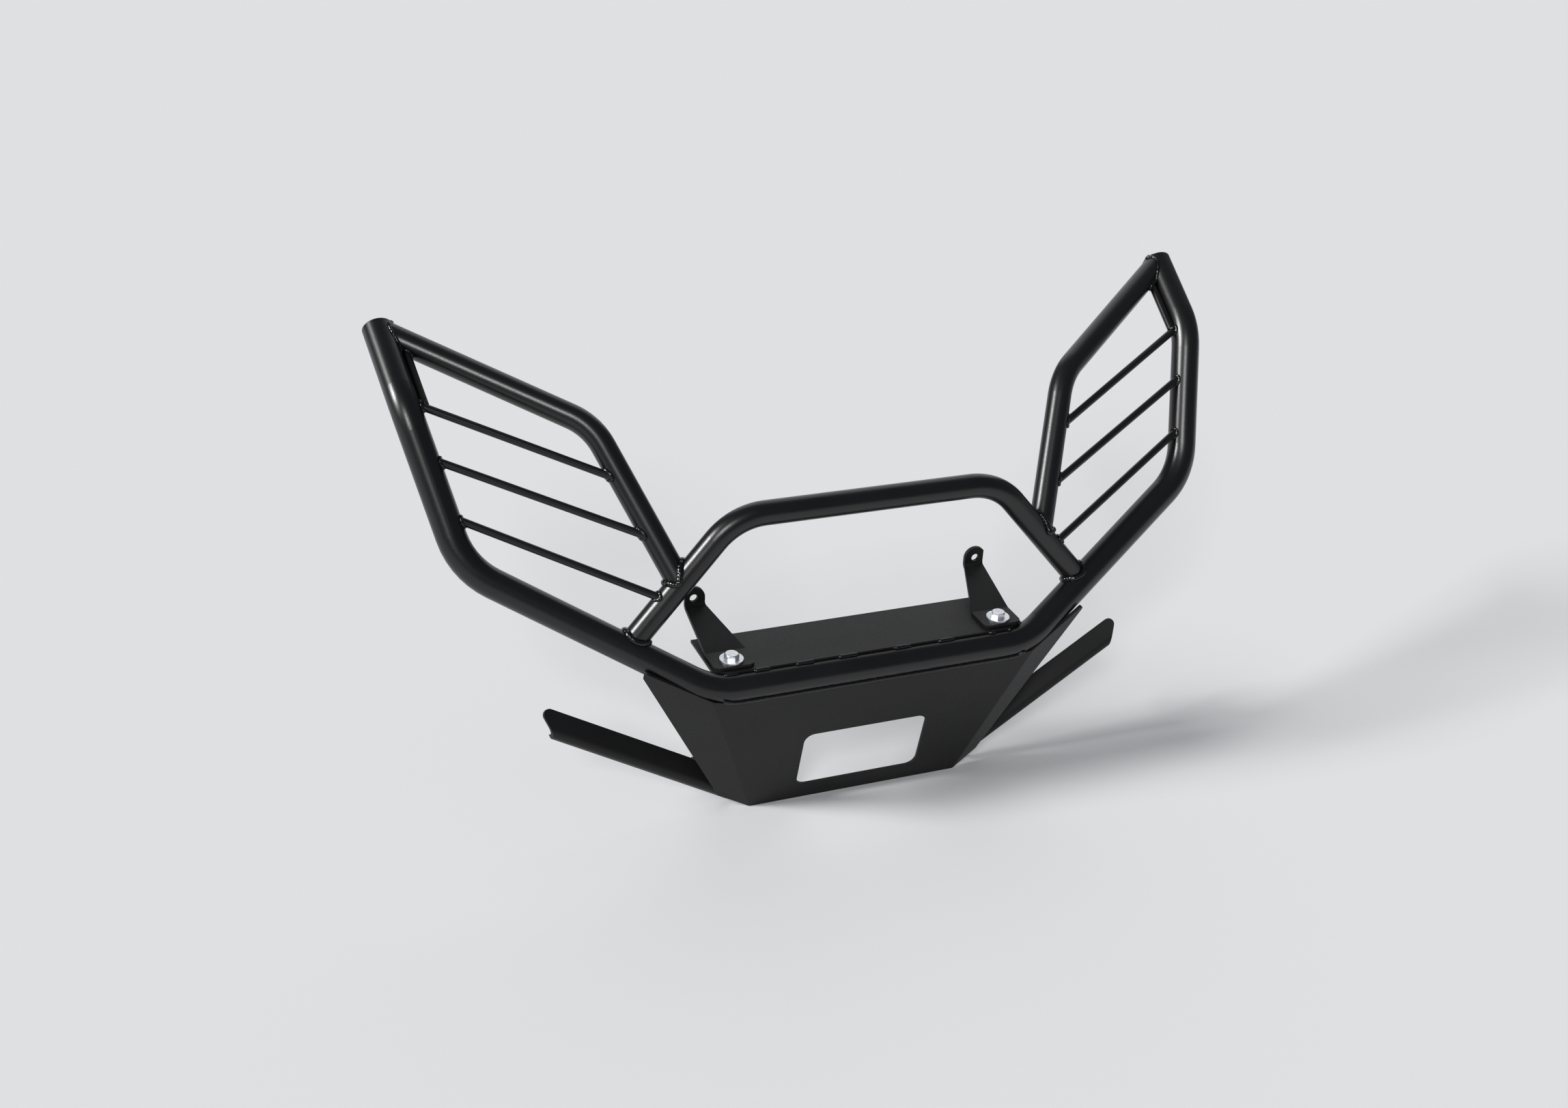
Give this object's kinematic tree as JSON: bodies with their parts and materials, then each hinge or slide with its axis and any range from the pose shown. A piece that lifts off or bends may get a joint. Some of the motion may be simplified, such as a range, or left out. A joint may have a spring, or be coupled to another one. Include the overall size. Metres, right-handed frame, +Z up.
{
  "type": "atv front bumper",
  "caption": "Front bumper of bent steel tubes with a centre hoop, headlight guard rods, a folded plate with a winch window, lower arms and bolted mounting brackets.",
  "frame": {"origin": "midway between the two bracket holes for the vehicle's bolts, on the brackets' back faces", "axes": "+X to the right as seen from the front, +Y back towards the vehicle, +Z up"},
  "size_m": [1.1556, 0.3495, 0.6237],
  "materials": {
    "black_powder_coat": "semi-gloss black powder coat on steel",
    "zinc_plate": "bright zinc plate on steel"
  },
  "bodies": {
    "root": {"main_tube": "black_powder_coat", "left_end_cap": "black_powder_coat", "right_end_cap": "black_powder_coat", "left_guard_tube": "black_powder_coat", "right_guard_tube": "black_powder_coat", "center_hoop": "black_powder_coat", "left_upper_rod": "black_powder_coat", "right_upper_rod": "black_powder_coat", "left_middle_rod": "black_powder_coat", "right_middle_rod": "black_powder_coat", "left_lower_rod": "black_powder_coat", "right_lower_rod": "black_powder_coat", "left_corner_rod": "black_powder_coat", "right_corner_rod": "black_powder_coat", "front_plate": "black_powder_coat", "shelf_plate": "black_powder_coat", "left_lower_arm": "black_powder_coat", "right_lower_arm": "black_powder_coat", "left_mount_bracket": "black_powder_coat", "right_mount_bracket": "black_powder_coat", "shelf_bolts": "zinc_plate", "bolt_washers": "zinc_plate", "shelf_nuts": "zinc_plate"}
  },
  "joints": []
}
